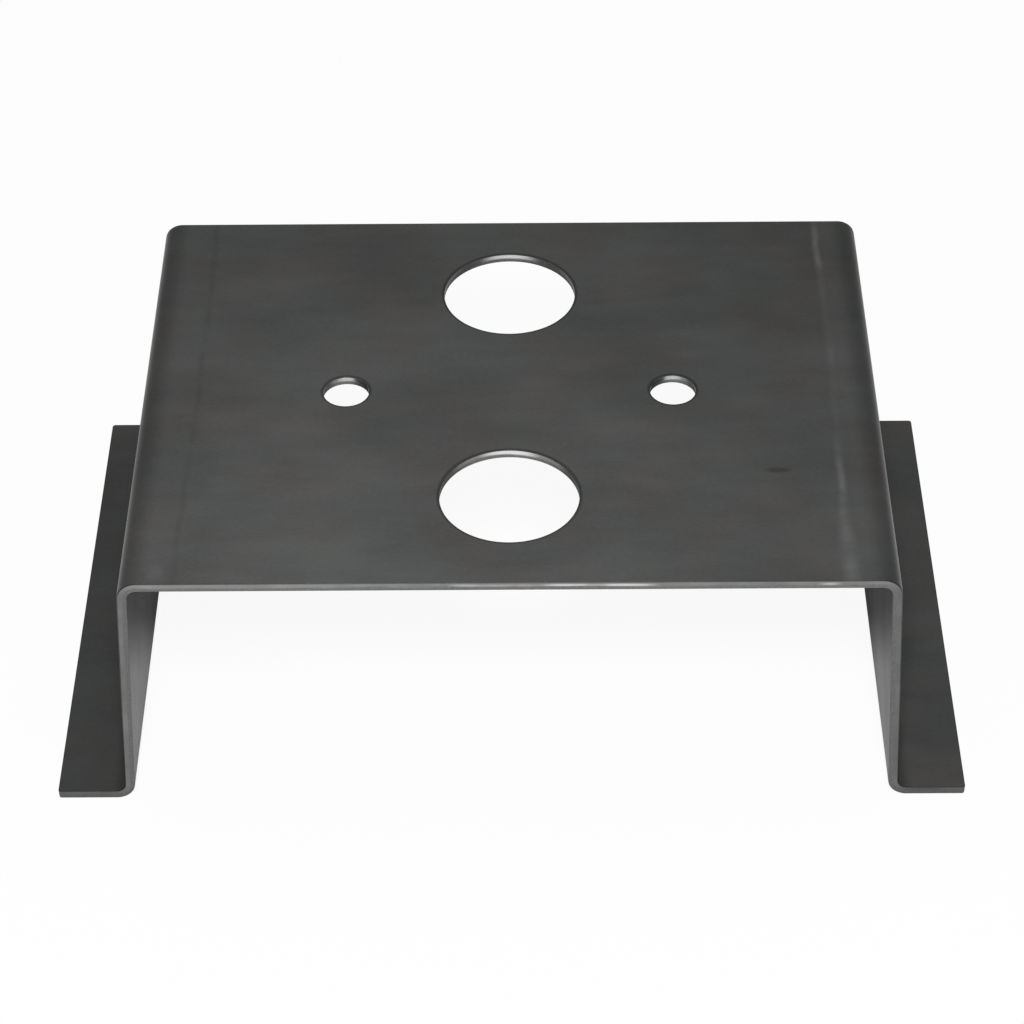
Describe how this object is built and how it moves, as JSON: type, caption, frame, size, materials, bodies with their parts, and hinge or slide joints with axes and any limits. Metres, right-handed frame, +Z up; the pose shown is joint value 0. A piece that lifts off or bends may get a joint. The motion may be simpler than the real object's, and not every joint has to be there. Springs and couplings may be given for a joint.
{
  "type": "tail light bracket",
  "caption": "Hat-section bracket folded from dark steel sheet: a flat lamp plate with stud and wire holes, carried on splayed legs that turn out into flanges.",
  "frame": {"origin": "centre of the footprint, at the height of the flange undersides", "axes": "+X across the legs from left to right, +Y from front to back, +Z up from the flanges to the lamp plate"},
  "size_m": [0.1396, 0.0888, 0.0444],
  "materials": {
    "steel_sheet": "bare dark mill-finish steel, satin, with brighter sheared edges"
  },
  "bodies": {
    "root": {"bracket": "steel_sheet"}
  },
  "joints": []
}
